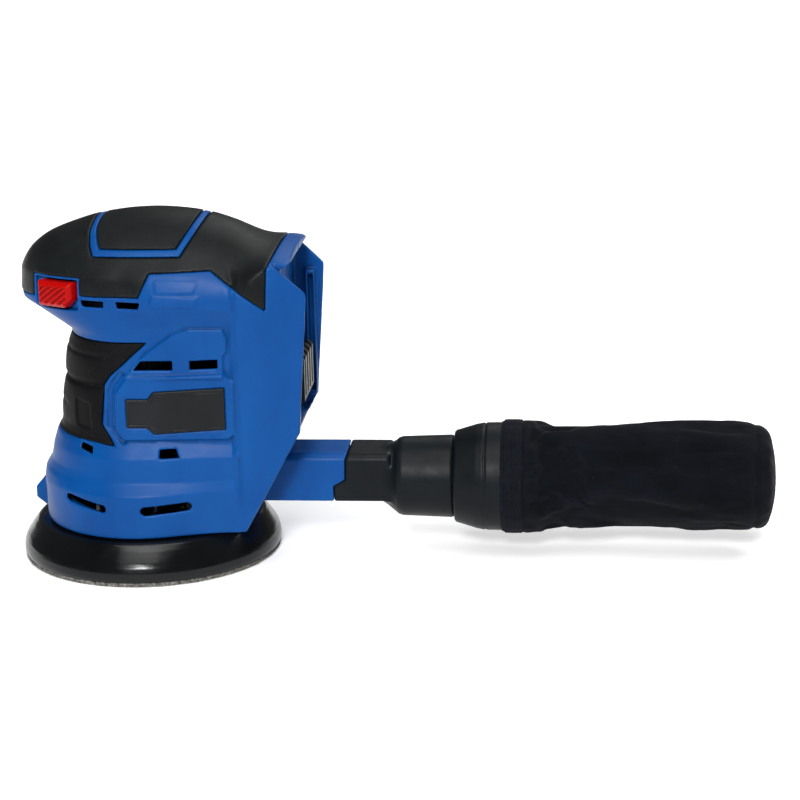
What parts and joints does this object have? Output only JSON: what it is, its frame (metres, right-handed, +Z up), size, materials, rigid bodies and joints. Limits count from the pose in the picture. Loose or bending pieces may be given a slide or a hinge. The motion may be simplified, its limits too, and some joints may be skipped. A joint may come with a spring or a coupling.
{
  "type": "random orbital sander",
  "caption": "Cordless palm random-orbital sander with a round hook-and-loop pad, slide switch, open battery bay, dust duct, adapter and fabric dust bag.",
  "frame": {"origin": "centre of the pad's bottom face, on the pad's axis", "axes": "+Z up along the pad's axis, +X to the rear along the dust duct and bag, -Y the side with the slide switch"},
  "size_m": [0.3528, 0.1216, 0.1625],
  "materials": {
    "case_blue": "fine satin moulded texture",
    "soft_black": "matte soft-touch overmould",
    "grip_black": "matte ribbed rubber",
    "hard_black": "fine matte moulding",
    "plate_black": "smooth film",
    "pad_black": "polished",
    "hook_fibre": "short nylon hooks",
    "bag_cloth": "fine woven polyester",
    "cuff_elastic": "ribbed elastic",
    "switch_red": "semi-gloss",
    "bearing_steel": "ground",
    "zinc_steel": "zinc plated",
    "black_steel": "black oxide",
    "cast_alloy": "die cast",
    "copper_wire": "varnished winding",
    "contact_brass": "plated",
    "carbon": "pressed carbon",
    "board_green": "solder mask",
    "lead_red": "smooth insulation",
    "magnet_grey": "sintered ferrite"
  },
  "bodies": {
    "housing": {"housing_left": "case_blue", "housing_right": "case_blue", "top_grip": "soft_black", "top_trim": "case_blue", "palm_pad": "soft_black", "front_grip": "grip_black", "label_plate": "plate_black", "rating_plate": "plate_black", "housing_screws": "black_steel", "dust_duct": "case_blue", "brake_ring": "grip_black", "bearing_plate": "cast_alloy", "lower_bearing": "bearing_steel", "upper_bearing": "bearing_steel", "motor_can": "zinc_steel", "motor_magnets": "magnet_grey", "brush_holder": "hard_black", "brushes": "carbon", "switch_body": "hard_black", "controller_board": "board_green", "board_parts": "hard_black", "terminal_holder": "hard_black", "terminal_blades": "contact_brass", "battery_leads": "lead_red"},
    "rotor": {"motor_shaft": "bearing_steel", "armature_core": "zinc_steel", "armature_windings": "copper_wire", "commutator": "copper_wire", "dust_fan": "cast_alloy", "eccentric_hub": "cast_alloy", "counterweight": "zinc_steel", "pad_bearing": "bearing_steel"},
    "pad": {"pad_spindle": "bearing_steel", "pad_screw": "black_steel", "pad_washer": "zinc_steel", "backing_pad": "pad_black", "hook_face": "hook_fibre"},
    "switch": {"switch_button": "switch_red", "switch_slider": "hard_black"},
    "adapter": {"dust_adapter": "hard_black"},
    "bag": {"bag_collar": "hard_black", "bag_cuff": "cuff_elastic", "dust_bag": "bag_cloth", "bag_frame": "zinc_steel"}
  },
  "joints": [
    {"name": "rotor_spin", "type": "hinge", "parent": "housing", "child": "rotor", "pos_m": [-0.00125, 0, 0.05], "axis": [0, 0, 1], "continuous": true},
    {"name": "pad_spin", "type": "hinge", "parent": "rotor", "child": "pad", "pos_m": [0, 0, 0.0285], "axis": [0, 0, 1], "continuous": true},
    {"name": "switch_slide", "type": "slide", "parent": "housing", "child": "switch", "axis": [-0.8844, 0.4667, 0], "range_m": [0, 0.004]},
    {"name": "adapter_slide", "type": "slide", "parent": "housing", "child": "adapter", "axis": [1, 0, 0], "range_m": [0, 0.02]},
    {"name": "bag_slide", "type": "slide", "parent": "adapter", "child": "bag", "axis": [1, 0, 0], "range_m": [0, 0.016]}
  ]
}
